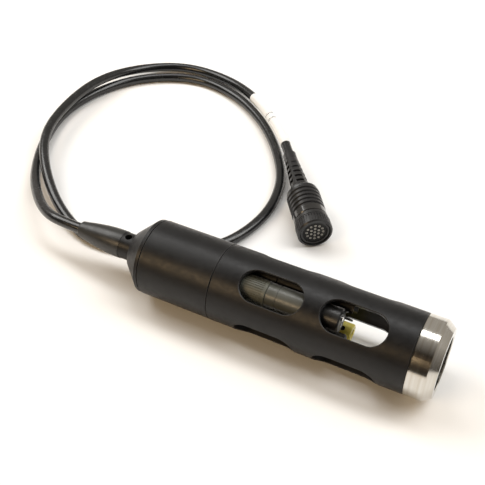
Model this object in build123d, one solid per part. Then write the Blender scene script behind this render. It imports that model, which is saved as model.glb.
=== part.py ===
from build123d import *
import math
import os

# Multi-sensor water quality probe for wells, on its own cable with a round connector.
# Millimetres. +X runs along the probe from the cable boot to the end weight, +Z is up,
# and the probe lies on the plane z = 0 with the origin below the middle of its length.

os.makedirs("parts", exist_ok=True)

# Probe, along its axis. Stations are measured from the seam between bulkhead and guard.
BODY_RADIUS = 23.5
AXIS_HEIGHT = BODY_RADIUS
SEAM_X = -15.75
SEAM_GAP = 0.15
RUN_GAP = 0.3
EDGE = 0.4

HOUSING_BACK = -46.5
BAY_FLOOR = -22.0
BAY_RADIUS = 20.0
SPIGOT_LENGTH = 9.0
SPIGOT_RADIUS = 19.3
THREAD_START = 2.2
THREAD_TURNS = 3
THREAD_PITCH = 1.8
THREAD_DEPTH = 0.5

GUARD_BORE = 19.9
GUARD_END = 118.8
SLOT_LENGTH = 38.0
SLOT_WIDTH = 19.0
SLOT_CENTRES = (35.6, 84.5)
SLOT_EDGE = 0.5
GUARD_SEAL_X = 6.0
GUARD_SEAL_RADIUS = 20.4
GUARD_SEAL_CORD = 0.8
GUARD_GROOVE_RADIUS = 21.4
GROOVE_HALF = 1.0

WEIGHT_START = GUARD_END + SEAM_GAP
WEIGHT_SHOULDER = 129.2
WEIGHT_END = 134.0
WEIGHT_NOSE_RADIUS = 20.0
WEIGHT_BORE = 15.5
WEIGHT_SPIGOT_START = 108.9
WEIGHT_SEAL_X = 114.0
WEIGHT_SEAL_RADIUS = 18.85
WEIGHT_SEAL_CORD = 0.75
WEIGHT_GROOVE_RADIUS = 17.9

CAP_RIM_RADIUS = 23.2
CAP_RIM_BACK = -49.0
CAP_GROOVE_BACK = -47.0
CAP_GROOVE_RADIUS = 22.3
CAP_SPIGOT_RADIUS = 19.9
CAP_SPIGOT_END = -40.5
CAP_SEAL_X = -43.6
CAP_SEAL_RADIUS = 19.2
CAP_SEAL_CORD = 0.75
CAP_SEAL_GROOVE_RADIUS = 18.4
CONE_END_RADIUS = 12.2
NECK_RADIUS = 8.4
NECK_START = -60.5
NECK_END = -70.0
NECK_HOLE_RADIUS = 2.3
NECK_HOLE_X = -66.0
NECK_HOLE_FLOOR = 4.4

BOOT_TIP = -102.5
BOOT_RADIUS = 8.7
BOOT_PROFILE = ((-79.0, 8.55), (-86.5, 7.8), (-94.0, 6.6))
BOOT_TIP_RADIUS = 5.2
BOOT_TIP_EDGE = 0.8
CABLE_RADIUS = 3.5
CABLE_BORE = 3.55

GLAND_BORE = 6.2
GLAND_FLOOR = -52.0
GLAND_SEAL_END = -47.0
GLAND_NUT_END = -41.5
DRIVE_SLOT = (2.4, 1.6)
CABLE_INNER_END = -40.0

BOARD_BACK = -29.6
BOARD_FRONT = -28.0
BOARD_RADIUS = 18.0
BOARD_SCREW_CIRCLE = 15.5
BOARD_SCREW_COUNT = 3
BOARD_SCREW_FIRST = 75
BOARD_SCREW_RADIUS = 1.2
BOARD_SCREW_DEPTH = 1.5
SCREW_HEAD_HEIGHT = 1.6
SCREW_HEAD_RADIUS = 2.3
STANDOFF_RADIUS = 2.4
SCREW_CLEARANCE = 0.05
HEADER_BACK = -33.6
CHIPS = (
    # across, up, width, height, thickness
    (0.0, 0.0, 12.0, 5.0, 4.0),
    (-8.0, 8.5, 9.0, 9.0, 1.4),
    (5.5, 7.0, 7.0, 5.0, 1.6),
    (-8.0, -9.0, 6.5, 6.0, 2.2),
)
CAPACITOR = (7.5, -8.5, 2.5, 6.0)
CONDUCTOR_RADIUS = 0.6
CONDUCTOR_CIRCLE = 1.8
CONDUCTOR_COUNT = 4

# Sensors, in four ports round the axis. Angles are from the top, towards -Y.
PORT_CIRCLE = 11.4
PORT_ANGLES = {"orp": 30, "conductivity": 120, "oxygen": 210, "ph": 300}
PORT_MOUTH_RADIUS = 6.6
PORT_MOUTH_FLOOR = -1.0
PORT_RADIUS = 4.68
PORT_FLOOR = -12.0
SOCKET_RADIUS = 2.5
SOCKET_BORE = 1.3
SOCKET_DEPTH = 8.0

PLUG_RADIUS = 4.6
PLUG_END = -11.5
PLUG_GROOVES = (-8.8, -5.4)
PLUG_GROOVE_RADIUS = 3.3
PLUG_SEAL_RADIUS = 4.0
PLUG_SEAL_CORD = 0.6
PIN_RADIUS = 1.0
PIN_END = -17.0
PIN_HOLD = 3.0
FLANGE_RADIUS = 6.2
FLANGE_FRONT = 0.7
SHANK_RADIUS = 5.0
BARREL_RADIUS = 7.45
BARREL_START = 32.0
NUT_THREAD_RADIUS = 6.3
NUT_RADIUS = 7.7
NUT_BORE = 5.3
NUT_HEAD_START = 10.0
NUT_FLUTES = 36
NUT_FLUTE_WIDTH = 0.55
NUT_FLUTE_DEPTH = 0.35

ORP_END = 76.0
ORP_LINES = (38.0, 70.5)
ORP_PIECE_DEPTH = 3.0
ORP_BUTTON_OFFSET = 2.6
ORP_BUTTON_RADIUS = 1.5
ORP_JUNCTION_OFFSET = -3.0
ORP_JUNCTION_RADIUS = 1.2
CONDUCTIVITY_END = 79.5
CELL_RADIUS = 1.9
CELL_OFFSET = 3.6
CELL_FLOOR = 56.0
ELECTRODES = (63.0, 72.0)
ELECTRODE_LENGTH = 2.5
ELECTRODE_WALL = 0.4
THERMISTOR_RADIUS = 1.6
THERMISTOR_START = 71.5
THERMISTOR_END = 82.5
OXYGEN_END = 68.0
OXYGEN_NOSE_RADIUS = 4.3
OXYGEN_NOSE_END = 76.5
OXYGEN_ELECTRODE_RADIUS = 1.4
OXYGEN_ELECTRODE_DEPTH = 4.0
MEMBRANE_CAP_RADIUS = 5.2
MEMBRANE_CAP_BORE = 4.6
MEMBRANE_CAP_END = 80.0
MEMBRANE_CAP_LIP = 1.6
MEMBRANE_CAP_MOUTH = 2.6
MEMBRANE_VENTS = 3
MEMBRANE_VENT_X = 73.8
MEMBRANE_VENT = (4.2, 2.6)
MEMBRANE_X = 78.0
MEMBRANE_THICKNESS = 0.3
PH_END = 65.0
PH_GUARD_END = 79.0
PH_BULB_RADIUS = 3.6
PH_BULB_X = 73.0
PH_STEM_RADIUS = 2.2
PH_STEM_START = 58.0
PH_STEM_END = 71.5
PH_GUARD_BORE = 6.2
PH_GUARD_RADIUS = 7.3
PH_WINDOW_X = 74.5
PH_WINDOW = (13.0, 6.5)

# Cable route from the boot tip to the connector, lying on the plane z = 0.
CABLE_ROUTE = [
    (-118.25, 0, 23.5), (-134, 0, 23.5), (-150, 5, 20.5), (-170, 20, 14.5), (-195, 46.5, 6.5),
    (-216, 84, 3.55), (-226, 124, 3.55), (-218, 163, 3.55), (-196, 195, 3.55), (-157, 215, 3.55),
    (-117, 208, 3.55), (-82, 186, 3.55), (-54, 156, 3.55), (-33, 121, 3.55), (-28, 80, 3.55),
    (-43, 40, 3.55), (-79, 19, 3.55), (-119, 8, 3.55), (-156, 24, 4.5), (-187.5, 50, 11),
    (-212.5, 83, 13.5), (-220, 124, 14), (-217, 163, 14), (-205, 202, 6), (-173, 226.5, 3.55),
    (-130, 224, 4), (-92, 201.5, 8.8), (-61.5, 171.5, 11.9), (-46.96, 155.08, 11.9),
    (-38.3, 143.2, 11.9),
]
ARC_SHARE = 0.45
LABEL_BORE = 3.6
LABEL_RADIUS = 3.9
LABEL_CORNERS = (26, 27)
LABEL_START_SHARE = 0.50
LABEL_END_SHARE = 0.55

# Connector stations are measured from where the cable enters, towards the contact face.
CONNECTOR_HEADING = -53.9
CONNECTOR_BOOT_TIP = 8.0
CONNECTOR_BOOT_END = 39.4
CONNECTOR_BOOT_TIP_RADIUS = 4.7
CONNECTOR_BOOT_RADIUS = 6.6
BOOT_SLOT_ROWS = 5
BOOT_SLOT_START = 11.5
BOOT_SLOT_PITCH = 5.4
BOOT_SIDE_SLOT = (2.9, 3.0, 8.5)
BOOT_SIDE_OFFSET = 5.2
BOOT_TOP_SLOT = (2.4, 5.4, 2.6)
BOOT_TOP_OFFSET = 5.8
SHOULDER = ((CONNECTOR_BOOT_END, 6.8), (41.4, 8.6), (44.6, 10.8))
SHOULDER_END = 46.4
RIBS_END = 65.6
RIB_COUNT = 5
RIB_RADIUS = 11.5
RIB_VALLEY_RADIUS = 10.6
RIB_GAP = 0.45
RIB_SLOPE = 0.7
COLLAR_END = 72.3
COLLAR_RADIUS = 11.2
COLLAR_EDGE = 0.6
RING_START = 72.6
RING_FLANGE_END = 75.6
RING_KNURL_START = 76.2
FACE_X = 84.4
RING_FLANGE_RADIUS = 11.4
RING_GROOVE_RADIUS = 10.9
RING_RADIUS = 11.8
RING_EDGE = 0.8
RING_BORE = 10.2
RING_FLUTES = 40
RING_FLUTE = (6.0, 0.9, 1.0)
NOSE_FRONT = FACE_X - 0.8
NOSE_RADIUS = 9.5
INSERT_FRONT = FACE_X - 1.4
INSERT_RADIUS = 8.4
CONNECTOR_SEAL = (74.0, 75.5, 9.85)
PLUG_CABLE_END = 52.4
CONTACT_RADIUS = 0.75
CONTACT_BORE = 0.4
CONTACT_BORE_DEPTH = 4.0
CONTACT_PROUD = 0.15
CONTACT_RINGS = ((0.0, 1), (2.8, 6), (5.5, 12))


def turned(outline):
    """Solid of revolution about X from a closed outline of (station, radius) points."""
    return revolve(make_face(Polyline(*outline, close=True)), Axis.X, 360)


def tube(start, end, bore, radius):
    """Plain ring or bush between two stations."""
    return turned([(start, bore), (end, bore), (end, radius), (start, radius)])


def rod(start, end, radius):
    """Plain cylinder between two stations."""
    return turned([(start, 0), (end, 0), (end, radius), (start, radius)])


def o_ring(station, ring_radius, cord_radius):
    """Round-section seal ring about X."""
    section = Pos(station, ring_radius) * Circle(cord_radius)
    return revolve(section, Axis.X, 360)


def around(shape, count, first=0.0):
    """Copies of a shape at equal angles about X."""
    return [Rot(X=first + 360 * number / count) * shape for number in range(count)]


def cut_each(shape, tools):
    """Shape with every tool cut out of it."""
    for tool in tools:
        shape = shape - tool
    return shape


def on_axis(shape):
    """Move a shape from seam stations to its place on the probe's axis."""
    return Pos(SEAM_X, 0, AXIS_HEIGHT) * shape


def in_port(shape, name):
    """Move a shape from seam stations to the axis of one sensor port."""
    angle = math.radians(PORT_ANGLES[name])
    side = -PORT_CIRCLE * math.sin(angle)
    height = PORT_CIRCLE * math.cos(angle)
    return on_axis(Pos(0, side, height) * shape)


def at_connector(shape):
    """Move a shape from connector stations to where the connector lies."""
    return Pos(*CABLE_ROUTE[-1]) * Rot(Z=CONNECTOR_HEADING) * shape


def write(name, shape):
    """Write one node."""
    export_step(shape, f"parts/{name}.step")


# Bulkhead and what it holds

def port_circle_places():
    """Offsets of the four port axes from the probe's axis."""
    for degrees in PORT_ANGLES.values():
        angle = math.radians(degrees)
        yield Pos(0, -PORT_CIRCLE * math.sin(angle), PORT_CIRCLE * math.cos(angle))


def make_housing_tube():
    return turned([
        (HOUSING_BACK, BAY_RADIUS), (HOUSING_BACK, BODY_RADIUS - EDGE),
        (HOUSING_BACK + EDGE, BODY_RADIUS), (-EDGE, BODY_RADIUS), (0, BODY_RADIUS - EDGE),
        (0, BAY_RADIUS),
    ])


def make_bulkhead_body():
    body = turned([
        (BAY_FLOOR, 0), (BAY_FLOOR, BAY_RADIUS), (0, BAY_RADIUS), (0, SPIGOT_RADIUS),
        (SPIGOT_LENGTH - EDGE, SPIGOT_RADIUS), (SPIGOT_LENGTH, SPIGOT_RADIUS - EDGE),
        (SPIGOT_LENGTH, 0),
    ])
    for turn in range(THREAD_TURNS):
        start = THREAD_START + turn * THREAD_PITCH
        body -= tube(start, start + THREAD_PITCH / 2, SPIGOT_RADIUS - THREAD_DEPTH, BODY_RADIUS)
    for place in port_circle_places():
        body -= place * rod(PORT_MOUTH_FLOOR, SPIGOT_LENGTH + 1, PORT_MOUTH_RADIUS)
        body -= place * rod(PORT_FLOOR, 0, PORT_RADIUS)
        body -= place * rod(BAY_FLOOR - 1, 0, SOCKET_RADIUS + SCREW_CLEARANCE)
    hole = rod(BAY_FLOOR - 1, BAY_FLOOR + BOARD_SCREW_DEPTH + 0.5, BOARD_SCREW_RADIUS + SCREW_CLEARANCE)
    return cut_each(body, at_board_screws(hole))


def at_board_screws(shape):
    """Copies of a shape at the places of the circuit board's screws."""
    return around(Pos(0, 0, BOARD_SCREW_CIRCLE) * shape, BOARD_SCREW_COUNT, BOARD_SCREW_FIRST)


def make_end_cap():
    cap = turned([
        (NECK_END, CABLE_RADIUS + 0.1), (NECK_END, NECK_RADIUS), (NECK_START, NECK_RADIUS),
        (NECK_START, CONE_END_RADIUS), (CAP_RIM_BACK, CAP_RIM_RADIUS),
        (CAP_GROOVE_BACK, CAP_RIM_RADIUS), (CAP_GROOVE_BACK, CAP_GROOVE_RADIUS),
        (HOUSING_BACK, CAP_GROOVE_RADIUS), (HOUSING_BACK, CAP_SPIGOT_RADIUS),
        (CAP_SPIGOT_END, CAP_SPIGOT_RADIUS), (CAP_SPIGOT_END, GLAND_BORE),
        (GLAND_FLOOR, GLAND_BORE), (GLAND_FLOOR, CABLE_RADIUS + 0.1),
    ])
    groove_half = CAP_SEAL_CORD + 0.15
    cap -= tube(CAP_SEAL_X - groove_half, CAP_SEAL_X + groove_half, CAP_SEAL_GROOVE_RADIUS, BAY_RADIUS)
    hole = Cylinder(NECK_HOLE_RADIUS, NECK_RADIUS, align=(Align.CENTER, Align.CENTER, Align.MIN))
    return cap - Pos(NECK_HOLE_X, 0, NECK_HOLE_FLOOR) * hole


def make_cable_boot():
    shoulder = (BOOT_TIP + BOOT_TIP_EDGE, BOOT_TIP_RADIUS)
    tip = (BOOT_TIP, BOOT_TIP_RADIUS - BOOT_TIP_EDGE)
    with BuildSketch() as section:
        with BuildLine():
            Line((NECK_END, CABLE_BORE), (NECK_END, BOOT_RADIUS))
            Spline((NECK_END, BOOT_RADIUS), *BOOT_PROFILE, shoulder)
            Line(shoulder, tip)
            Line(tip, (BOOT_TIP, CABLE_BORE))
            Line((BOOT_TIP, CABLE_BORE), (NECK_END, CABLE_BORE))
        make_face()
    return revolve(section.sketch, Axis.X, 360)


def make_gland_nut():
    nut = tube(GLAND_SEAL_END, GLAND_NUT_END, CABLE_RADIUS + 0.4, GLAND_BORE - 0.1)
    drive_slot = Pos(GLAND_NUT_END, 0, 0) * Box(DRIVE_SLOT[0], 3 * GLAND_BORE, DRIVE_SLOT[1])
    return nut - drive_slot


def make_circuit_board():
    board = rod(BOARD_BACK, BOARD_FRONT, BOARD_RADIUS)
    hole = rod(BOARD_BACK - 1, BOARD_FRONT + 1, BOARD_SCREW_RADIUS + SCREW_CLEARANCE)
    return cut_each(board, at_board_screws(hole))


def make_board_components():
    seated = (Align.MAX, Align.CENTER, Align.CENTER)
    parts = []
    for side, height, wide, tall, thick in CHIPS:
        parts.append(Pos(BOARD_BACK, side, height) * Box(thick, wide, tall, align=seated))
    side, height, radius, length = CAPACITOR
    parts.append(Pos(0, side, height) * rod(BOARD_BACK - length, BOARD_BACK, radius))
    return Compound(parts)


def make_board_screws():
    screw = rod(BOARD_BACK, BAY_FLOOR + BOARD_SCREW_DEPTH, BOARD_SCREW_RADIUS)
    screw += rod(BOARD_BACK - SCREW_HEAD_HEIGHT, BOARD_BACK, SCREW_HEAD_RADIUS)
    screw -= Pos(BOARD_BACK - SCREW_HEAD_HEIGHT, 0, 0) * Box(1.4, 2 * SCREW_HEAD_RADIUS + 1, 0.7)
    return Compound(at_board_screws(screw))


def make_board_standoffs():
    standoff = tube(BOARD_FRONT, BAY_FLOOR, BOARD_SCREW_RADIUS + SCREW_CLEARANCE, STANDOFF_RADIUS)
    return Compound(at_board_screws(standoff))


def make_port_sockets():
    socket = rod(BOARD_FRONT, PORT_FLOOR, SOCKET_RADIUS)
    socket -= rod(PORT_FLOOR - SOCKET_DEPTH, PORT_FLOOR + 1, SOCKET_BORE)
    return Compound([place * socket for place in port_circle_places()])


def make_conductors():
    conductor = Pos(0, 0, CONDUCTOR_CIRCLE) * rod(CABLE_INNER_END, HEADER_BACK, CONDUCTOR_RADIUS)
    return Compound(around(conductor, CONDUCTOR_COUNT, 45))


# Guard and end weight

def make_guard_tube():
    guard = turned([
        (SEAM_GAP, GUARD_BORE), (SEAM_GAP, BODY_RADIUS - EDGE), (SEAM_GAP + EDGE, BODY_RADIUS),
        (GUARD_END - EDGE, BODY_RADIUS), (GUARD_END, BODY_RADIUS - EDGE), (GUARD_END, GUARD_BORE),
    ])
    slots = []
    for centre in SLOT_CENTRES:
        for degrees in PORT_ANGLES.values():
            profile = SlotOverall(SLOT_LENGTH, SLOT_WIDTH)
            slot = extrude(profile, BODY_RADIUS * 2)
            slots.append(Rot(X=degrees) * Pos(centre, 0, 0) * slot)
    guard = cut_each(guard, slots)
    rims = [edge for edge in guard.edges() if is_slot_rim(edge)]
    guard = chamfer(rims, SLOT_EDGE)
    return guard - tube(
        GUARD_SEAL_X - GROOVE_HALF, GUARD_SEAL_X + GROOVE_HALF, GUARD_BORE - 1, GUARD_GROOVE_RADIUS)


def is_slot_rim(edge):
    """True for the outer edges of the guard's slots."""
    middle = edge.position_at(0.5)
    radius = math.hypot(middle.Y, middle.Z)
    inside_ends = 10 < middle.X < GUARD_END - 10
    return inside_ends and abs(radius - BODY_RADIUS) < 0.05


def make_end_weight():
    groove_start = WEIGHT_SEAL_X - GROOVE_HALF
    groove_end = WEIGHT_SEAL_X + GROOVE_HALF
    return turned([
        (WEIGHT_SPIGOT_START, WEIGHT_BORE + EDGE), (WEIGHT_SPIGOT_START, SPIGOT_RADIUS - EDGE),
        (WEIGHT_SPIGOT_START + EDGE, SPIGOT_RADIUS), (groove_start, SPIGOT_RADIUS),
        (groove_start, WEIGHT_GROOVE_RADIUS), (groove_end, WEIGHT_GROOVE_RADIUS),
        (groove_end, SPIGOT_RADIUS), (WEIGHT_START, SPIGOT_RADIUS),
        (WEIGHT_START, BODY_RADIUS - EDGE / 2), (WEIGHT_START + EDGE / 2, BODY_RADIUS),
        (WEIGHT_SHOULDER, BODY_RADIUS), (WEIGHT_END, WEIGHT_NOSE_RADIUS),
        (WEIGHT_END, WEIGHT_BORE + EDGE), (WEIGHT_END - EDGE, WEIGHT_BORE),
        (WEIGHT_SPIGOT_START + EDGE, WEIGHT_BORE),
    ])


# Sensors

def make_sensor_body(end):
    """Plug, flange, shank and barrel that every sensor shares."""
    body = turned([
        (PLUG_END, 0), (PLUG_END, PLUG_RADIUS - EDGE), (PLUG_END + EDGE, PLUG_RADIUS),
        (PORT_MOUTH_FLOOR + RUN_GAP, PLUG_RADIUS), (PORT_MOUTH_FLOOR + RUN_GAP, FLANGE_RADIUS),
        (FLANGE_FRONT, FLANGE_RADIUS), (FLANGE_FRONT, SHANK_RADIUS), (BARREL_START, SHANK_RADIUS),
        (BARREL_START, BARREL_RADIUS), (end - 0.8, BARREL_RADIUS), (end, BARREL_RADIUS - 0.8), (end, 0),
    ])
    for groove in PLUG_GROOVES:
        body -= tube(groove - 0.8, groove + 0.8, PLUG_GROOVE_RADIUS, PLUG_RADIUS + 1)
    return body - rod(PLUG_END - 1, PLUG_END + PIN_HOLD, PIN_RADIUS)


def make_sensor_nut():
    nut = turned([
        (FLANGE_FRONT + RUN_GAP, NUT_BORE), (FLANGE_FRONT + RUN_GAP, NUT_THREAD_RADIUS),
        (SPIGOT_LENGTH, NUT_THREAD_RADIUS), (SPIGOT_LENGTH, NUT_THREAD_RADIUS - EDGE),
        (NUT_HEAD_START, NUT_THREAD_RADIUS - EDGE), (NUT_HEAD_START, NUT_RADIUS - EDGE),
        (NUT_HEAD_START + EDGE, NUT_RADIUS), (BARREL_START - RUN_GAP - EDGE, NUT_RADIUS),
        (BARREL_START - RUN_GAP, NUT_RADIUS - EDGE), (BARREL_START - RUN_GAP, NUT_BORE),
    ])
    head_middle = (NUT_HEAD_START + BARREL_START - RUN_GAP) / 2
    flute_length = BARREL_START - NUT_HEAD_START - 4
    flute = Pos(head_middle, 0, NUT_RADIUS) * Box(flute_length, NUT_FLUTE_WIDTH, 2 * NUT_FLUTE_DEPTH)
    return cut_each(nut, around(flute, NUT_FLUTES))


def make_sensor_seals():
    return Compound([o_ring(groove, PLUG_SEAL_RADIUS, PLUG_SEAL_CORD) for groove in PLUG_GROOVES])


def make_sensor_contact():
    return rod(PIN_END, PLUG_END + PIN_HOLD, PIN_RADIUS)


def make_orp_body():
    body = make_sensor_body(ORP_END)
    for station in ORP_LINES:
        body -= tube(station, station + 0.5, BARREL_RADIUS - 0.3, BARREL_RADIUS + 1)
    body -= orp_piece(ORP_BUTTON_OFFSET, ORP_BUTTON_RADIUS, 1)
    return body - orp_piece(ORP_JUNCTION_OFFSET, ORP_JUNCTION_RADIUS, 1)


def orp_piece(offset, radius, proud):
    """Short cylinder let into the end of the redox sensor."""
    return Pos(0, 0, offset) * rod(ORP_END - ORP_PIECE_DEPTH, ORP_END + proud, radius)


def make_conductivity_body():
    body = make_sensor_body(CONDUCTIVITY_END)
    for side in (-CELL_OFFSET, CELL_OFFSET):
        body -= Pos(0, side, 0) * rod(CELL_FLOOR, CONDUCTIVITY_END + 1, CELL_RADIUS)
    vent = Rot(X=90) * Cylinder(CELL_RADIUS, 4 * BARREL_RADIUS)
    body -= Pos(CELL_FLOOR + 2, 0, 0) * vent
    return body - rod(THERMISTOR_START, CONDUCTIVITY_END + 1, THERMISTOR_RADIUS)


def make_electrodes():
    rings = []
    for side in (-CELL_OFFSET, CELL_OFFSET):
        for station in ELECTRODES:
            ring = tube(station, station + ELECTRODE_LENGTH, CELL_RADIUS - ELECTRODE_WALL, CELL_RADIUS)
            rings.append(Pos(0, side, 0) * ring)
    return Compound(rings)


def make_thermistor():
    return turned([
        (THERMISTOR_START, 0), (THERMISTOR_START, THERMISTOR_RADIUS),
        (THERMISTOR_END - THERMISTOR_RADIUS / 2, THERMISTOR_RADIUS),
        (THERMISTOR_END, THERMISTOR_RADIUS / 2), (THERMISTOR_END, 0),
    ])


def make_oxygen_body():
    body = make_sensor_body(OXYGEN_END) + rod(OXYGEN_END - 1, OXYGEN_NOSE_END, OXYGEN_NOSE_RADIUS)
    return body - oxygen_rod(1)


def oxygen_rod(proud):
    """Cylinder along the middle of the oxygen sensor's nose."""
    return rod(OXYGEN_NOSE_END - OXYGEN_ELECTRODE_DEPTH, OXYGEN_NOSE_END + proud, OXYGEN_ELECTRODE_RADIUS)


def make_membrane_cap():
    start = OXYGEN_END + RUN_GAP
    lip = MEMBRANE_CAP_END - MEMBRANE_CAP_LIP
    cap = turned([
        (start, MEMBRANE_CAP_BORE), (start, MEMBRANE_CAP_RADIUS),
        (MEMBRANE_CAP_END - EDGE, MEMBRANE_CAP_RADIUS), (MEMBRANE_CAP_END, MEMBRANE_CAP_RADIUS - EDGE),
        (MEMBRANE_CAP_END, MEMBRANE_CAP_MOUTH), (lip, MEMBRANE_CAP_MOUTH), (lip, MEMBRANE_CAP_BORE),
    ])
    opening = extrude(SlotOverall(*MEMBRANE_VENT), MEMBRANE_CAP_RADIUS)
    vent = Pos(MEMBRANE_VENT_X, 0, MEMBRANE_CAP_BORE - 1) * opening
    return cut_each(cap, around(vent, MEMBRANE_VENTS, 30))


def make_membrane():
    return rod(MEMBRANE_X, MEMBRANE_X + MEMBRANE_THICKNESS, MEMBRANE_CAP_BORE - RUN_GAP)


def make_ph_body():
    return make_sensor_body(PH_END) - rod(PH_STEM_START, PH_END + 1, PH_STEM_RADIUS)


def make_ph_bulb():
    bulb = Pos(PH_BULB_X, 0, 0) * Sphere(PH_BULB_RADIUS)
    return bulb - rod(PH_END, PH_STEM_END, PH_STEM_RADIUS)


def make_ph_bulb_guard():
    guard = tube(PH_END, PH_GUARD_END, PH_GUARD_BORE, PH_GUARD_RADIUS)
    window = Pos(PH_WINDOW_X, 0, 0) * Box(*PH_WINDOW, 3 * PH_GUARD_RADIUS)
    return cut_each(guard, [window, Rot(X=90) * window])


# Cable, label and connector

def corner_radii(route):
    """Largest tangent arc at each inner point of a route, from its two runs and its turn."""
    radii = []
    for before, corner, after in zip(route, route[1:], route[2:]):
        run_in = Vector(*corner) - Vector(*before)
        run_out = Vector(*after) - Vector(*corner)
        turn = math.radians(run_in.get_angle(run_out))
        radii.append(ARC_SHARE * min(run_in.length, run_out.length) / math.tan(turn / 2))
    return radii


def swept_round(route, radii, radius):
    """Round bar along straight runs joined by tangent arcs."""
    path = FilletPolyline(*route, radius=radii)
    start = Plane(origin=path @ 0, z_dir=path % 0)
    return sweep(start * Circle(radius), path), path.length


def make_cable():
    radii = corner_radii(CABLE_ROUTE)
    cable, length = swept_round(CABLE_ROUTE, radii, CABLE_RADIUS)
    print("cable radii", [round(radius, 1) for radius in radii])
    print("cable length", round(length, 1))
    print("volume over section times length", cable.volume / (math.pi * CABLE_RADIUS**2 * length))
    return cable


def between(start, end, share):
    """Point part of the way from one route point to another."""
    return tuple(a + (b - a) * share for a, b in zip(start, end))


def make_cable_label():
    first, last = LABEL_CORNERS
    start = between(CABLE_ROUTE[first], CABLE_ROUTE[first - 1], LABEL_START_SHARE)
    end = between(CABLE_ROUTE[last], CABLE_ROUTE[last + 1], LABEL_END_SHARE)
    corners = CABLE_ROUTE[first:last + 1]
    radii = corner_radii(CABLE_ROUTE)[first - 1:last]
    outer, length = swept_round([start, *corners, end], radii, LABEL_RADIUS)
    inner, length = swept_round([start, *corners, end], radii, LABEL_BORE)
    return outer - inner


def make_connector_boot():
    boot = turned([
        (0, CABLE_BORE), (0, CONNECTOR_BOOT_TIP_RADIUS - EDGE), (EDGE, CONNECTOR_BOOT_TIP_RADIUS),
        (CONNECTOR_BOOT_TIP, CONNECTOR_BOOT_TIP_RADIUS), (CONNECTOR_BOOT_END, CONNECTOR_BOOT_RADIUS),
        (CONNECTOR_BOOT_END, CABLE_BORE),
    ])
    for row in range(BOOT_SLOT_ROWS):
        station = BOOT_SLOT_START + row * BOOT_SLOT_PITCH
        for side in (-1, 1):
            boot -= Pos(station, side * BOOT_SIDE_OFFSET, 0) * Box(*BOOT_SIDE_SLOT)
            boot -= Pos(station + BOOT_SLOT_PITCH / 2, 0, side * BOOT_TOP_OFFSET) * Box(*BOOT_TOP_SLOT)
    return boot


def make_connector_body():
    rib_pitch = (RIBS_END - SHOULDER_END) / RIB_COUNT
    body = turned([
        (CONNECTOR_BOOT_END, CABLE_BORE), *SHOULDER,
        (SHOULDER_END, RIB_VALLEY_RADIUS), (RIBS_END, RIB_VALLEY_RADIUS), (RIBS_END, NOSE_RADIUS),
        (NOSE_FRONT, NOSE_RADIUS), (NOSE_FRONT, INSERT_RADIUS), (RIBS_END, INSERT_RADIUS),
        (RIBS_END, CABLE_BORE),
    ])
    for rib in range(RIB_COUNT):
        station = SHOULDER_END + rib_pitch * (rib + 0.5)
        half = rib_pitch / 2 - RIB_GAP
        body += turned([
            (station - half, RIB_VALLEY_RADIUS - 1), (station - half, RIB_VALLEY_RADIUS),
            (station - half + RIB_SLOPE, RIB_RADIUS), (station + half - RIB_SLOPE, RIB_RADIUS),
            (station + half, RIB_VALLEY_RADIUS), (station + half, RIB_VALLEY_RADIUS - 1),
        ])
    return body


def make_connector_collar():
    start = RIBS_END + RUN_GAP
    return turned([
        (start, NOSE_RADIUS), (start, COLLAR_RADIUS - COLLAR_EDGE), (start + COLLAR_EDGE, COLLAR_RADIUS),
        (COLLAR_END - COLLAR_EDGE, COLLAR_RADIUS), (COLLAR_END, COLLAR_RADIUS - COLLAR_EDGE),
        (COLLAR_END, NOSE_RADIUS),
    ])


def contact_places():
    for circle_radius, count in CONTACT_RINGS:
        for number in range(count):
            angle = 2 * math.pi * number / count
            yield Pos(0, circle_radius * math.sin(angle), circle_radius * math.cos(angle))


def make_connector_insert():
    insert = rod(RIBS_END, INSERT_FRONT, INSERT_RADIUS - 0.05)
    hole = rod(RIBS_END - 1, INSERT_FRONT + 1, CONTACT_RADIUS + 0.05)
    return cut_each(insert, [place * hole for place in contact_places()])


def make_contacts():
    front = INSERT_FRONT + CONTACT_PROUD
    contact = rod(RIBS_END, front, CONTACT_RADIUS) - rod(front - CONTACT_BORE_DEPTH, front + 1, CONTACT_BORE)
    return Compound([place * contact for place in contact_places()])


def make_connector_seal():
    start, end, radius = CONNECTOR_SEAL
    return tube(start, end, NOSE_RADIUS, radius)


def make_coupling_ring():
    ring = turned([
        (RING_START, RING_BORE), (RING_START, RING_GROOVE_RADIUS), (RING_START + EDGE, RING_FLANGE_RADIUS),
        (RING_FLANGE_END, RING_FLANGE_RADIUS), (RING_FLANGE_END, RING_GROOVE_RADIUS),
        (RING_KNURL_START, RING_GROOVE_RADIUS), (RING_KNURL_START, RING_RADIUS - EDGE),
        (RING_KNURL_START + EDGE, RING_RADIUS), (FACE_X - RING_EDGE, RING_RADIUS),
        (FACE_X, RING_RADIUS - RING_EDGE), (FACE_X, RING_BORE),
    ])
    middle = (RING_KNURL_START + FACE_X) / 2
    flute = Pos(middle, 0, RING_RADIUS) * Box(*RING_FLUTE)
    return cut_each(ring, around(flute, RING_FLUTES))


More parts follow.
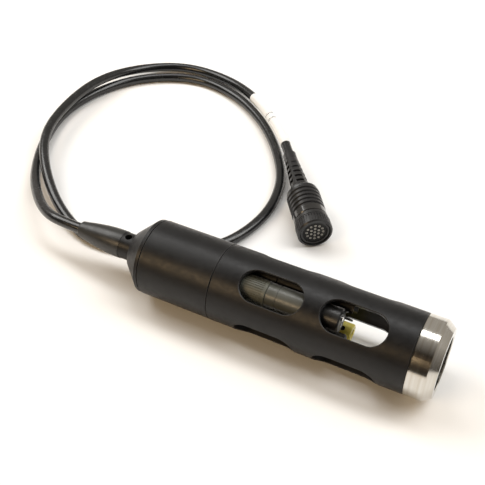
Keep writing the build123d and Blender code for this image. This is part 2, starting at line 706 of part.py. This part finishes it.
write("housing_tube", on_axis(make_housing_tube()))
write("bulkhead_body", on_axis(make_bulkhead_body()))
write("bulkhead_end_cap", on_axis(make_end_cap()))
write("cap_o_ring", on_axis(o_ring(CAP_SEAL_X, CAP_SEAL_RADIUS, CAP_SEAL_CORD)))
write("cable_boot", on_axis(make_cable_boot()))
write("cable_inner_end", on_axis(rod(BOOT_TIP, CABLE_INNER_END, CABLE_RADIUS)))
write("gland_seal", on_axis(tube(GLAND_FLOOR, GLAND_SEAL_END, CABLE_RADIUS, GLAND_BORE - 0.1)))
write("gland_nut", on_axis(make_gland_nut()))
write("circuit_board", on_axis(make_circuit_board()))
write("board_components", on_axis(make_board_components()))
write("board_screws", on_axis(make_board_screws()))
write("board_standoffs", on_axis(make_board_standoffs()))
write("port_sockets", on_axis(make_port_sockets()))
write("cable_conductors", on_axis(make_conductors()))

write("guard_o_ring", on_axis(o_ring(GUARD_SEAL_X, GUARD_SEAL_RADIUS, GUARD_SEAL_CORD)))
write("guard_tube", on_axis(make_guard_tube()))
write("end_weight_o_ring", on_axis(o_ring(WEIGHT_SEAL_X, WEIGHT_SEAL_RADIUS, WEIGHT_SEAL_CORD)))
write("end_weight", on_axis(make_end_weight()))

SENSOR_BODIES = {
    "orp": make_orp_body(),
    "conductivity": make_conductivity_body(),
    "oxygen": make_oxygen_body(),
    "ph": make_ph_body(),
}
for sensor, sensor_body in SENSOR_BODIES.items():
    write(f"{sensor}_sensor_body", in_port(sensor_body, sensor))
    write(f"{sensor}_sensor_nut", in_port(make_sensor_nut(), sensor))
    write(f"{sensor}_sensor_o_rings", in_port(make_sensor_seals(), sensor))
    write(f"{sensor}_sensor_contact", in_port(make_sensor_contact(), sensor))

write("orp_button", in_port(orp_piece(ORP_BUTTON_OFFSET, ORP_BUTTON_RADIUS, 0.8), "orp"))
write("orp_junction", in_port(orp_piece(ORP_JUNCTION_OFFSET, ORP_JUNCTION_RADIUS, 0.2), "orp"))
write("conductivity_electrodes", in_port(make_electrodes(), "conductivity"))
write("thermistor_tip", in_port(make_thermistor(), "conductivity"))
write("oxygen_electrode", in_port(oxygen_rod(0.5), "oxygen"))
write("membrane_cap", in_port(make_membrane_cap(), "oxygen"))
write("membrane", in_port(make_membrane(), "oxygen"))
write("ph_stem", in_port(rod(PH_STEM_START, PH_STEM_END, PH_STEM_RADIUS), "ph"))
write("ph_bulb", in_port(make_ph_bulb(), "ph"))
write("ph_bulb_guard", in_port(make_ph_bulb_guard(), "ph"))

write("cable", make_cable())
write("cable_label", make_cable_label())
write("cable_plug_end", at_connector(rod(0, PLUG_CABLE_END, CABLE_RADIUS)))
write("connector_boot", at_connector(make_connector_boot()))
write("connector_body", at_connector(make_connector_body()))
write("connector_collar", at_connector(make_connector_collar()))
write("connector_insert", at_connector(make_connector_insert()))
write("connector_contacts", at_connector(make_contacts()))
write("connector_seal", at_connector(make_connector_seal()))
write("coupling_ring", at_connector(make_coupling_ring()))
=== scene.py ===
import math

import bpy
from mathutils import Matrix, Vector


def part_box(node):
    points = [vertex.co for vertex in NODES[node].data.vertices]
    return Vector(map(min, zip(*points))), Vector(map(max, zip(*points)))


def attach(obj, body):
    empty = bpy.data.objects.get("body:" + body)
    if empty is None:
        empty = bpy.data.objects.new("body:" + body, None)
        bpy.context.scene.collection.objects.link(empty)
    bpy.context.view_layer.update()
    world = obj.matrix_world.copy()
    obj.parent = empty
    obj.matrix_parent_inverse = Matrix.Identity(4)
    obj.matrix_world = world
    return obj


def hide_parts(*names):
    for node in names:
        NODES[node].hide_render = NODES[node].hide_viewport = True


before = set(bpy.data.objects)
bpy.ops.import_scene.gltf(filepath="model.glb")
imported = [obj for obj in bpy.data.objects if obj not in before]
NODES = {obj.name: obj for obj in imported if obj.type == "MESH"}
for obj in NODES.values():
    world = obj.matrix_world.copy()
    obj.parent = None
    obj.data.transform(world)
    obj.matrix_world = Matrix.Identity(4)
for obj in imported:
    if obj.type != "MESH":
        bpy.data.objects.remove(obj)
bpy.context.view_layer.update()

MM = 0.001

# Places on the CAD nodes, in metres
ORP_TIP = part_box("orp_sensor_body")[1].x

# Sensors in the bulkhead; the first has a grey body with a black tip, the others are black
SENSORS = ("orp", "conductivity", "oxygen", "ph")
BLACK_SENSORS = SENSORS[1:]
BLACK_TIP_LENGTH = 16 * MM

# Free cable, and its route from the boot tip to the connector in millimetres
CABLE_RADIUS = 3.5 * MM
CABLE_ROUTE = [
    (-118.25, 0, 23.5), (-134, 0, 23.5), (-150, 5, 20.5), (-170, 20, 14.5), (-195, 46.5, 6.5),
    (-216, 84, 3.55), (-226, 124, 3.55), (-218, 163, 3.55), (-196, 195, 3.55), (-157, 215, 3.55),
    (-117, 208, 3.55), (-82, 186, 3.55), (-54, 156, 3.55), (-33, 121, 3.55), (-28, 80, 3.55),
    (-43, 40, 3.55), (-79, 19, 3.55), (-119, 8, 3.55), (-156, 24, 4.5), (-187.5, 50, 11),
    (-212.5, 83, 13.5), (-220, 124, 14), (-217, 163, 14), (-205, 202, 6), (-173, 226.5, 3.55),
    (-130, 224, 4), (-92, 201.5, 8.8), (-61.5, 171.5, 11.9), (-46.96, 155.08, 11.9),
    (-38.3, 143.2, 11.9),
]

# Label sleeve on the cable, with its ends placed by their distance back from the cable's end
LABEL_NEAR = 13.1 * MM
LABEL_FAR = 84.5 * MM
LABEL_RADIUS = 3.9 * MM
LABEL_BORE = 3.52 * MM
LABEL_ROLL = 0.4 * MM

# Rows of dashes printed round the label, with angles in radians from the top
PRINT_ROWS = (44 * MM, 50.5 * MM)
PRINT_DEPTH = 0.03 * MM
DASHES = 7
DASH_WIDTH = 1.8 * MM
DASH_START = -0.5
DASH_PITCH = 0.30
LONG_DASH = 0.45 * DASH_PITCH
SHORT_DASH = 0.30 * DASH_PITCH

# Mesh edges sharper than this stay sharp
SHARP_ANGLE = math.radians(35)

# Sizes of the surface patterns, in features per metre
ACETAL_PATCHES = 60
ACETAL_SCUFFS = 350
MOULD_PATCHES = 90
MOULD_SMEARS = 260
EDGE_WEAR = 900
PLATING_SPOTS = 2500
GLASS_RIPPLES = 300
FILM_WRINKLES = 700
BOARD_TRACKS = 420

# Sizes of the patterns drawn out round a turned piece, in features per metre along each axis
ACETAL_LINES = (2600, 40, 40)
STEEL_TONE = (700, 6, 6)
STEEL_LINES = (3200, 4, 4)

# Cosine of the angle that rounding would turn a surface by, where the edge tint starts and is full;
# the tint is paler edges, partly wear and partly a painted edge highlight
EDGE_BEGINS = 0.995
EDGE_FULL = 0.90

# Room light, which brightens as the direction's Y part goes from near to far
ROOM_STRENGTH = 0.6
ROOM_NEAR = -0.75
ROOM_FAR = 0.35
ROOM_DARK = (0.05, 0.04, 0.03)
ROOM_LIGHT = (0.76, 0.70, 0.62)

# Lamp colours
SOFT_WHITE = (1.0, 0.99, 0.97)
WHITE = (1.0, 1.0, 1.0)
WARM = (1.0, 0.72, 0.42)

# Floor, just below what rests on it
FLOOR_HALF = 6.0
FLOOR_DROP = 0.2 * MM
FLOOR_COLOUR = (0.93, 0.925, 0.915)

# Camera, with its azimuth measured from -Y towards +X and its elevation up from the floor
CAMERA_TARGET = Vector((-0.0327, 0.0571, 0))
CAMERA_DISTANCE = 0.540
CAMERA_AZIMUTH = math.radians(26.99)
CAMERA_ELEVATION = math.radians(43.58)
CAMERA_LENS = 60.29
CAMERA_SENSOR = 36
CAMERA_CLIP = 0.01


# Node helpers

def new_material(name, colour, roughness, metallic=0.0, coat=0.0, specular=0.5):
    """Material with plain values on its shader, returned with its node tree and shader."""
    material = bpy.data.materials.new(name)
    material.use_nodes = True
    tree = material.node_tree
    shader = tree.nodes["Principled BSDF"]
    shader.inputs["Base Color"].default_value = (*colour, 1)
    shader.inputs["Roughness"].default_value = roughness
    shader.inputs["Metallic"].default_value = metallic
    shader.inputs["Coat Weight"].default_value = coat
    shader.inputs["Specular IOR Level"].default_value = specular
    return material, tree, shader


def noise(tree, scale, detail, stretch=(1, 1, 1)):
    """Noise over the object's own coordinates."""
    coords = tree.nodes.new("ShaderNodeTexCoord")
    mapping = tree.nodes.new("ShaderNodeMapping")
    mapping.inputs["Scale"].default_value = stretch
    texture = tree.nodes.new("ShaderNodeTexNoise")
    texture.inputs["Scale"].default_value = scale
    texture.inputs["Detail"].default_value = detail
    texture.inputs["Roughness"].default_value = 0.55
    tree.links.new(coords.outputs["Object"], mapping.inputs["Vector"])
    tree.links.new(mapping.outputs["Vector"], texture.inputs["Vector"])
    return texture.outputs["Fac"]


def ramp(tree, value, low, high, start=0.35, end=0.65):
    """Colour from low to high as a value goes from start to end."""
    node = tree.nodes.new("ShaderNodeValToRGB")
    for stop, position, colour in zip(node.color_ramp.elements, (start, end), (low, high)):
        stop.position = position
        stop.color = (*colour, 1)
    tree.links.new(value, node.inputs["Fac"])
    return node.outputs["Color"]


def tinted(tree, colour, tint, mask):
    """A colour with a flat tint over it where the mask is 1."""
    flat = tree.nodes.new("ShaderNodeRGB")
    flat.outputs["Color"].default_value = (*tint, 1)
    mix = tree.nodes.new("ShaderNodeMix")
    mix.data_type = "RGBA"
    tree.links.new(mask, mix.inputs["Factor"])
    tree.links.new(colour, mix.inputs["A"])
    tree.links.new(flat.outputs["Color"], mix.inputs["B"])
    return mix.outputs["Result"]


def edge_mask(tree, radius):
    """1 on the edges of a piece, 0 on its faces."""
    bevel = tree.nodes.new("ShaderNodeBevel")
    bevel.inputs["Radius"].default_value = radius
    bevel.samples = 4
    geometry = tree.nodes.new("ShaderNodeNewGeometry")
    alignment = tree.nodes.new("ShaderNodeVectorMath")
    alignment.operation = "DOT_PRODUCT"
    tree.links.new(bevel.outputs["Normal"], alignment.inputs[0])
    tree.links.new(geometry.outputs["Normal"], alignment.inputs[1])
    spread = tree.nodes.new("ShaderNodeMapRange")
    spread.inputs["From Min"].default_value = EDGE_BEGINS
    spread.inputs["From Max"].default_value = EDGE_FULL
    tree.links.new(alignment.outputs["Value"], spread.inputs["Value"])
    return spread.outputs["Result"]


def product(tree, first, second):
    """Two values multiplied together."""
    node = tree.nodes.new("ShaderNodeMath")
    node.operation = "MULTIPLY"
    tree.links.new(first, node.inputs[0])
    tree.links.new(second, node.inputs[1])
    return node.outputs["Value"]


def vary_roughness(tree, shader, pattern, low, high):
    """Roughness between two values, following a pattern."""
    spread = ramp(tree, pattern, (low, low, low), (high, high, high))
    tree.links.new(spread, shader.inputs["Roughness"])


def bump(tree, shader, height, strength, distance):
    """Fine relief, following a pattern."""
    node = tree.nodes.new("ShaderNodeBump")
    node.inputs["Strength"].default_value = strength
    node.inputs["Distance"].default_value = distance
    tree.links.new(height, node.inputs["Height"])
    tree.links.new(node.outputs["Normal"], shader.inputs["Normal"])


# Kinds of material

def moulded(name, dark, light, roughness, grain, relief, edge_wear_and_highlight=None, edge_radius=0.35 * MM, **gloss):
    """Moulded plastic or rubber: mottled colour, uneven gloss, fine grain and paler edges, partly
    wear and partly a painted edge highlight.
    """
    material, tree, shader = new_material(name, dark, roughness[0], **gloss)
    colour = ramp(tree, noise(tree, MOULD_PATCHES, detail=6), dark, light)
    if edge_wear_and_highlight:
        # Paler edges broken up by noise: partly wear, partly a painted edge highlight
        edge_wear_and_highlight_mask = product(tree, edge_mask(tree, edge_radius), noise(tree, EDGE_WEAR, detail=3))
        colour = tinted(tree, colour, edge_wear_and_highlight, edge_wear_and_highlight_mask)
    tree.links.new(colour, shader.inputs["Base Color"])
    vary_roughness(tree, shader, noise(tree, MOULD_SMEARS, detail=5), *roughness)
    bump(tree, shader, noise(tree, grain, detail=3), strength=0.5, distance=relief)
    return material


def turned_acetal(name, dark, light, roughness=(0.34, 0.46), edge_wear_and_highlight=(0.055, 0.055, 0.054)):
    """Turned black plastic: faint lathe lines round the X axis, scuffs and paler edges, partly wear
    and partly a painted edge highlight.
    """
    material, tree, shader = new_material(name, dark, roughness[0], specular=0.30)
    colour = ramp(tree, noise(tree, ACETAL_PATCHES, detail=7), dark, light)
    # Paler edges all round: partly wear, partly a painted edge highlight
    colour = tinted(tree, colour, edge_wear_and_highlight, edge_mask(tree, radius=0.4 * MM))
    tree.links.new(colour, shader.inputs["Base Color"])
    vary_roughness(tree, shader, noise(tree, ACETAL_SCUFFS, detail=6), *roughness)
    lines = noise(tree, 1, detail=4, stretch=ACETAL_LINES)
    bump(tree, shader, lines, strength=0.35, distance=0.02 * MM)
    return material


def turned_steel(name, cool, warm, roughness):
    """Turned and polished stainless steel, with fine lathe lines round the X axis."""
    material, tree, shader = new_material(name, cool, roughness[0], metallic=1.0)
    tone = noise(tree, 1, detail=5, stretch=STEEL_TONE)
    tree.links.new(ramp(tree, tone, warm, cool), shader.inputs["Base Color"])
    lines = noise(tree, 1, detail=3, stretch=STEEL_LINES)
    vary_roughness(tree, shader, lines, *roughness)
    bump(tree, shader, lines, strength=0.12, distance=0.004 * MM)
    return material


def plated(name, colour, roughness):
    """Small plated metal piece with a slightly uneven polish."""
    material, tree, shader = new_material(name, colour, roughness[0], metallic=1.0)
    spots = noise(tree, PLATING_SPOTS, detail=4)
    vary_roughness(tree, shader, spots, *roughness)
    bump(tree, shader, spots, strength=0.3, distance=0.01 * MM)
    return material


def solder_mask(track=(0.03, 0.22, 0.07), gap=(0.01, 0.09, 0.03)):
    """Green solder mask over faint tracks."""
    material, tree, shader = new_material("solder_mask", gap, roughness=0.3, coat=0.3)
    tracks = tree.nodes.new("ShaderNodeTexVoronoi")
    tracks.feature = "DISTANCE_TO_EDGE"
    tracks.inputs["Scale"].default_value = BOARD_TRACKS
    coords = tree.nodes.new("ShaderNodeTexCoord")
    tree.links.new(coords.outputs["Object"], tracks.inputs["Vector"])
    track_distance = tracks.outputs["Distance"]
    colour = ramp(tree, track_distance, track, gap, start=0.03, end=0.06)
    tree.links.new(colour, shader.inputs["Base Color"])
    bump(tree, shader, track_distance, strength=0.2, distance=0.02 * MM)
    return material


def blown_glass():
    """Thin clear glass with faint ripples."""
    material, tree, shader = new_material("bulb_glass", (0.93, 0.96, 0.95), roughness=0.03)
    shader.inputs["Transmission Weight"].default_value = 1.0
    shader.inputs["IOR"].default_value = 1.47
    ripples = noise(tree, GLASS_RIPPLES, detail=2)
    bump(tree, shader, ripples, strength=0.15, distance=0.05 * MM)
    return material


def clear_film():
    """Clear stretched film with faint wrinkles."""
    material, tree, shader = new_material("clear_film", (0.8, 0.82, 0.84), roughness=0.12)
    shader.inputs["Transmission Weight"].default_value = 0.6
    wrinkles = noise(tree, FILM_WRINKLES, detail=3)
    bump(tree, shader, wrinkles, strength=0.3, distance=0.02 * MM)
    return material


def blacken_tip(material, start, black=(0.010, 0.010, 0.010)):
    """Black moulding beyond a place on the X axis, over the colour the material already has."""
    tree = material.node_tree
    base = tree.nodes["Principled BSDF"].inputs["Base Color"]
    colour = base.links[0].from_socket
    coords = tree.nodes.new("ShaderNodeTexCoord")
    split = tree.nodes.new("ShaderNodeSeparateXYZ")
    beyond = tree.nodes.new("ShaderNodeMath")
    beyond.operation = "GREATER_THAN"
    beyond.inputs[1].default_value = start
    tree.links.new(coords.outputs["Object"], split.inputs["Vector"])
    tree.links.new(split.outputs["X"], beyond.inputs[0])
    tree.links.new(tinted(tree, colour, black, beyond.outputs["Value"]), base)


# The edge colours given to the materials below are paler edges, partly wear and partly a painted edge
# highlight
# Materials of the housing, guard, end weight and seals

HOUSING = turned_acetal("black_housing", dark=(0.005, 0.005, 0.0054), light=(0.009, 0.009, 0.0094))
GUARD = turned_acetal("black_guard", dark=(0.0045, 0.0045, 0.005), light=(0.008, 0.008, 0.0085))
STEEL = turned_steel(
    "turned_stainless", cool=(0.64, 0.63, 0.60), warm=(0.5504, 0.5229, 0.468),
    roughness=(0.09, 0.18),
)
SEAL = moulded(
    "seal_rubber", dark=(0.015, 0.015, 0.015), light=(0.022, 0.022, 0.022),
    roughness=(0.35, 0.5), grain=3000, relief=0.02 * MM,
)

# Materials of the cable, its boot and its label

JACKET = moulded(
    "cable_jacket", dark=(0.006, 0.0065, 0.007), light=(0.010, 0.0105, 0.0115),
    roughness=(0.18, 0.28), grain=2600, relief=0.015 * MM, specular=0.6,
)
BOOT = moulded(
    "boot_rubber", dark=(0.014, 0.014, 0.014), light=(0.024, 0.024, 0.022),
    roughness=(0.30, 0.42), grain=2200, relief=0.02 * MM, specular=0.5,
)
LABEL = moulded(
    "label_film", dark=(0.83, 0.83, 0.82), light=(0.88, 0.88, 0.87),
    roughness=(0.32, 0.42), grain=1200, relief=0.02 * MM,
)
PRINT = moulded(
    "label_print", dark=(0.02, 0.02, 0.022), light=(0.05, 0.05, 0.055),
    roughness=(0.4, 0.5), grain=3000, relief=0.005 * MM,
)
WIRES = moulded(
    "wire_sheath", dark=(0.45, 0.05, 0.03), light=(0.55, 0.09, 0.05),
    roughness=(0.35, 0.45), grain=2500, relief=0.01 * MM,
)

# Materials of the connector

PLUG_RUBBER = moulded(
    "plug_rubber", dark=(0.008, 0.008, 0.009), light=(0.014, 0.014, 0.015),
    roughness=(0.26, 0.38), grain=2400, relief=0.015 * MM, edge_wear_and_highlight=(0.06, 0.06, 0.06), specular=0.5,
)
PLUG_GLOSS = moulded(
    "plug_gloss", dark=(0.008, 0.008, 0.008), light=(0.013, 0.013, 0.013),
    roughness=(0.12, 0.22), grain=1800, relief=0.003 * MM, edge_wear_and_highlight=(0.10, 0.10, 0.09), coat=0.5,
)
RING_PLASTIC = moulded(
    "ring_plastic", dark=(0.010, 0.010, 0.011), light=(0.017, 0.017, 0.018),
    roughness=(0.30, 0.42), grain=2000, relief=0.01 * MM,
    edge_wear_and_highlight=(0.10, 0.10, 0.105), edge_radius=0.2 * MM,
)
INSERT = moulded(
    "insert_plastic", dark=(0.005, 0.005, 0.005), light=(0.009, 0.009, 0.009),
    roughness=(0.5, 0.65), grain=2600, relief=0.02 * MM, edge_wear_and_highlight=(0.04, 0.04, 0.04), specular=0.25,
)
CONTACT = plated("contact_plating", (0.42, 0.40, 0.36), roughness=(0.35, 0.55))

# Materials of the sensors

GREY_NUT = moulded(
    "grey_nut", dark=(0.070, 0.074, 0.058), light=(0.110, 0.114, 0.092),
    roughness=(0.42, 0.6), grain=2600, relief=0.03 * MM,
    edge_wear_and_highlight=(0.2, 0.2, 0.18), edge_radius=0.15 * MM,
)
ORP_SENSOR = moulded(
    "grey_sensor", dark=(0.070, 0.073, 0.063), light=(0.088, 0.091, 0.080),
    roughness=(0.28, 0.4), grain=2000, relief=0.01 * MM, edge_wear_and_highlight=(0.16, 0.16, 0.15),
)
BLACK_SENSOR = moulded(
    "black_sensor", dark=(0.022, 0.022, 0.021), light=(0.034, 0.033, 0.031),
    roughness=(0.3, 0.44), grain=2000, relief=0.015 * MM, edge_wear_and_highlight=(0.1, 0.1, 0.095),
)
YELLOW = moulded(
    "yellow_cap", dark=(0.92, 0.76, 0.12), light=(0.96, 0.84, 0.22),
    roughness=(0.3, 0.42), grain=1500, relief=0.02 * MM, edge_wear_and_highlight=(0.9, 0.8, 0.3),
)
CERAMIC = moulded(
    "white_ceramic", dark=(0.75, 0.74, 0.70), light=(0.85, 0.84, 0.80),
    roughness=(0.35, 0.5), grain=3500, relief=0.02 * MM,
)
GOLD = plated("gold_plate", (0.83, 0.62, 0.30), roughness=(0.2, 0.4))
PLATINUM = plated("platinum", (0.75, 0.74, 0.72), roughness=(0.12, 0.32))

# Material of the parts on the circuit board

CHIPS = moulded(
    "chip_plastic", dark=(0.02, 0.02, 0.02), light=(0.035, 0.035, 0.035),
    roughness=(0.35, 0.5), grain=3000, relief=0.02 * MM, edge_wear_and_highlight=(0.1, 0.1, 0.1),
)


# Materials of the CAD nodes

def dress(names, material):
    """Give CAD nodes a material."""
    for name in names:
        slots = NODES[name].data.materials
        slots.clear()
        slots.append(material)


dress(["housing_tube", "bulkhead_body", "bulkhead_end_cap", "gland_nut"], HOUSING)
dress(["guard_tube"], GUARD)
dress(["end_weight", "thermistor_tip", "board_screws", "board_standoffs"], STEEL)
dress(["cap_o_ring", "gland_seal", "guard_o_ring", "end_weight_o_ring", "connector_seal"], SEAL)
dress([f"{name}_sensor_o_rings" for name in SENSORS], SEAL)

dress(["cable", "cable_inner_end", "cable_plug_end"], JACKET)
dress(["cable_boot"], BOOT)
dress(["cable_label"], LABEL)
dress(["cable_conductors"], WIRES)

dress(["connector_boot", "connector_body"], PLUG_RUBBER)
dress(["connector_collar"], PLUG_GLOSS)
dress(["coupling_ring"], RING_PLASTIC)
dress(["connector_insert"], INSERT)
dress(["connector_contacts"], CONTACT)

blacken_tip(ORP_SENSOR, ORP_TIP - BLACK_TIP_LENGTH)
dress(["orp_sensor_body"], ORP_SENSOR)
dress(["orp_sensor_nut"], GREY_NUT)
dress([f"{name}_sensor_body" for name in BLACK_SENSORS], BLACK_SENSOR)
dress([f"{name}_sensor_nut" for name in BLACK_SENSORS], BLACK_SENSOR)
dress(["ph_bulb_guard"], BLACK_SENSOR)
dress(["ph_stem", "orp_junction"], CERAMIC)
dress(["ph_bulb"], blown_glass())
dress(["membrane_cap"], YELLOW)
dress(["membrane"], clear_film())
dress(["port_sockets", "oxygen_electrode"], GOLD)
dress([f"{name}_sensor_contact" for name in SENSORS], GOLD)
dress(["orp_button", "conductivity_electrodes"], PLATINUM)

dress(["circuit_board"], solder_mask())
dress(["board_components"], CHIPS)


# Cable and its label

def make_cable():
    """Free cable: one smooth spline along the route's control points."""
    curve = bpy.data.curves.new("cable_jacket", "CURVE")
    curve.dimensions = "3D"
    curve.bevel_depth = CABLE_RADIUS
    curve.bevel_resolution = 8
    curve.resolution_u = 16
    curve.use_fill_caps = True
    spline = curve.splines.new("NURBS")
    spline.points.add(len(CABLE_ROUTE) - 1)
    for point, place in zip(spline.points, CABLE_ROUTE):
        point.co = (*(Vector(place) * MM), 1)
    spline.order_u = 3
    spline.use_endpoint_u = True
    curve.materials.append(JACKET)
    cable = bpy.data.objects.new("cable_jacket", curve)
    bpy.context.scene.collection.objects.link(cable)
    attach(cable, "bulkhead")
    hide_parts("cable")
    return cable


def centreline(cable):
    """Points of the cable's own spline, in order."""
    curve = cable.data.copy()
    curve.bevel_depth = 0
    bare = bpy.data.objects.new("bare_line", curve)
    mesh = bpy.data.meshes.new_from_object(bare)
    points = [vertex.co.copy() for vertex in mesh.vertices]
    bpy.data.meshes.remove(mesh)
    bpy.data.objects.remove(bare)
    bpy.data.curves.remove(curve)
    return points


def point_at(line, distance):
    """Place and direction at a distance back from the end of a line of points."""
    walked = 0.0
    for after, before in zip(line[::-1], line[-2::-1]):
        step = (after - before).length
        if walked + step >= distance:
            direction = (after - before).normalized()
            return after - direction * (distance - walked), direction
        walked += step
    raise ValueError("the line is shorter than that")


def frame_at(line, distance):
    """Matrix at a distance back from the end, with X along the line and Z as near up as can be."""
    place, along = point_at(line, distance)
    side = Vector((0, 0, 1)).cross(along).normalized()
    up = along.cross(side)
    return Matrix.Translation(place) @ Matrix((along, side, up)).transposed().to_4x4()


def finish_mesh(name, verts, faces, material, body):
    """Object from vertices and faces, smooth except at sharp edges, riding on a body."""
    mesh = bpy.data.meshes.new(name)
    mesh.from_pydata(verts, [], faces)
    mesh.validate()
    mesh.shade_smooth()
    mesh.set_sharp_from_angle(angle=SHARP_ANGLE)
    mesh.materials.append(material)
    piece = bpy.data.objects.new(name, mesh)
    bpy.context.scene.collection.objects.link(piece)
    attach(piece, body)
    return piece


def label_rings():
    """Distance and radius of each ring of the sleeve: along its outside, then back along its bore."""
    steps = 60
    length = LABEL_FAR - LABEL_NEAR
    end_radius = LABEL_RADIUS - LABEL_ROLL / 2
    rings = [(LABEL_NEAR, end_radius)]
    for step in range(steps + 1):
        share = step / steps
        rings.append((LABEL_NEAR + LABEL_ROLL + (length - 2 * LABEL_ROLL) * share, LABEL_RADIUS))
    rings.append((LABEL_FAR, end_radius))
    for step in range(steps + 1):
        rings.append((LABEL_FAR - length * step / steps, LABEL_BORE))
    return rings


def make_label(line):
    """White sleeve shrunk round the cable, with rolled ends."""
    sides = 48
    rings = label_rings()
    verts = []
    faces = []
    for ring, (distance, radius) in enumerate(rings):
        place = frame_at(line, distance)
        here = ring * sides
        there = (ring + 1) % len(rings) * sides
        for side in range(sides):
            angle = 2 * math.pi * side / sides
            verts.append(place @ (Vector((0, math.sin(angle), math.cos(angle))) * radius))
            beside = (side + 1) % sides
            faces.append((here + side, here + beside, there + beside, there + side))
    label = finish_mesh("label_sleeve", verts, faces, LABEL, "bulkhead")
    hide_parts("cable_label")
    return label


def dash_verts(line, distance, start, sweep):
    """Corners of one dash: four just inside the label's surface, then four just outside it."""
    end = start + sweep
    corners = ((0, start), (0, end), (DASH_WIDTH, end), (DASH_WIDTH, start))
    verts = []
    for reach in (LABEL_RADIUS - PRINT_DEPTH, LABEL_RADIUS + PRINT_DEPTH):
        for offset, angle in corners:
            place = frame_at(line, distance + offset)
            verts.append(place @ (Vector((0, -math.sin(angle), math.cos(angle))) * reach))
    return verts


def make_print(line):
    """Two short rows of blank dashes printed across the label."""
    corners = 4
    box = [(3, 2, 1, 0), (4, 5, 6, 7)]
    for corner in range(corners):
        after = (corner + 1) % corners
        box.append((corner, after, corners + after, corners + corner))
    verts = []
    faces = []
    for row, distance in enumerate(PRINT_ROWS):
        for dash in range(DASHES):
            sweep = LONG_DASH if (dash + row) % 3 else SHORT_DASH
            first = len(verts)
            verts.extend(dash_verts(line, distance, DASH_START + dash * DASH_PITCH, sweep))
            faces.extend(tuple(first + corner for corner in face) for face in box)
    return finish_mesh("label_marks", verts, faces, PRINT, "bulkhead")


CABLE = make_cable()
LINE = centreline(CABLE)
LABEL_SLEEVE = make_label(LINE)
LABEL_MARKS = make_print(LINE)


# Floor, room, lamps and camera

def make_floor():
    """Pale plain floor."""
    mesh = bpy.data.meshes.new("floor")
    corners = [(-FLOOR_HALF, -FLOOR_HALF, 0), (FLOOR_HALF, -FLOOR_HALF, 0),
               (FLOOR_HALF, FLOOR_HALF, 0), (-FLOOR_HALF, FLOOR_HALF, 0)]
    mesh.from_pydata(corners, [], [(0, 1, 2, 3)])
    floor = bpy.data.objects.new("floor", mesh)
    floor.location.z = -FLOOR_DROP
    bpy.context.scene.collection.objects.link(floor)
    pale = new_material("pale_floor", FLOOR_COLOUR, roughness=0.7, specular=0.1)[0]
    mesh.materials.append(pale)


def make_room():
    """Dim warm room, darker on the near side."""
    world = bpy.data.worlds.new("studio")
    world.use_nodes = True
    tree = world.node_tree
    background = tree.nodes["Background"]
    coords = tree.nodes.new("ShaderNodeTexCoord")
    split = tree.nodes.new("ShaderNodeSeparateXYZ")
    spread = tree.nodes.new("ShaderNodeMapRange")
    spread.inputs["From Min"].default_value = ROOM_NEAR
    spread.inputs["From Max"].default_value = ROOM_FAR
    tree.links.new(coords.outputs["Generated"], split.inputs["Vector"])
    tree.links.new(split.outputs["Y"], spread.inputs["Value"])
    colour = ramp(tree, spread.outputs["Result"], ROOM_DARK, ROOM_LIGHT, start=0.15, end=0.9)
    tree.links.new(colour, background.inputs["Color"])
    background.inputs["Strength"].default_value = ROOM_STRENGTH
    bpy.context.scene.world = world


def area_light(name, place, target, size, power, colour):
    """Rectangular lamp at a place, facing a target."""
    data = bpy.data.lights.new(name, "AREA")
    data.shape = "RECTANGLE"
    data.size, data.size_y = size
    data.energy = power
    data.color = colour
    lamp = bpy.data.objects.new(name, data)
    lamp.location = place
    facing = Vector(target) - Vector(place)
    lamp.rotation_euler = facing.to_track_quat("-Z", "Y").to_euler()
    bpy.context.scene.collection.objects.link(lamp)


def make_camera():
    """Camera looking down on the probe from beside its open end."""
    data = bpy.data.cameras.new("camera")
    data.sensor_width = CAMERA_SENSOR
    data.lens = CAMERA_LENS
    data.clip_start = CAMERA_CLIP
    camera = bpy.data.objects.new("camera", data)
    level = math.cos(CAMERA_ELEVATION)
    back = Vector((
        math.sin(CAMERA_AZIMUTH) * level,
        -math.cos(CAMERA_AZIMUTH) * level,
        math.sin(CAMERA_ELEVATION),
    ))
    camera.location = CAMERA_TARGET + back * CAMERA_DISTANCE
    camera.rotation_euler = (math.pi / 2 - CAMERA_ELEVATION, 0, CAMERA_AZIMUTH)
    bpy.context.scene.collection.objects.link(camera)
    bpy.context.scene.camera = camera


make_floor()
make_room()
area_light(
    "key_left", place=(-0.9, 0.15, 0.9), target=(0, 0.05, 0), size=(0.7, 0.7),
    power=7.5, colour=SOFT_WHITE,
)
area_light(
    "key_right", place=(0.8, 0.4, 1.0), target=(0, 0.05, 0), size=(0.7, 0.7),
    power=7, colour=SOFT_WHITE,
)
area_light(
    "overhead", place=(0.0, 0.42, 1.25), target=(-0.05, 0.03, 0), size=(1.3, 0.35),
    power=7, colour=WHITE,
)
area_light(
    "warm_fill", place=(-0.45, -1.0, 0.7), target=(0, 0, 0), size=(0.7, 0.35),
    power=5.8, colour=WARM,
)
make_camera()
bpy.context.scene.view_settings.view_transform = "Standard"
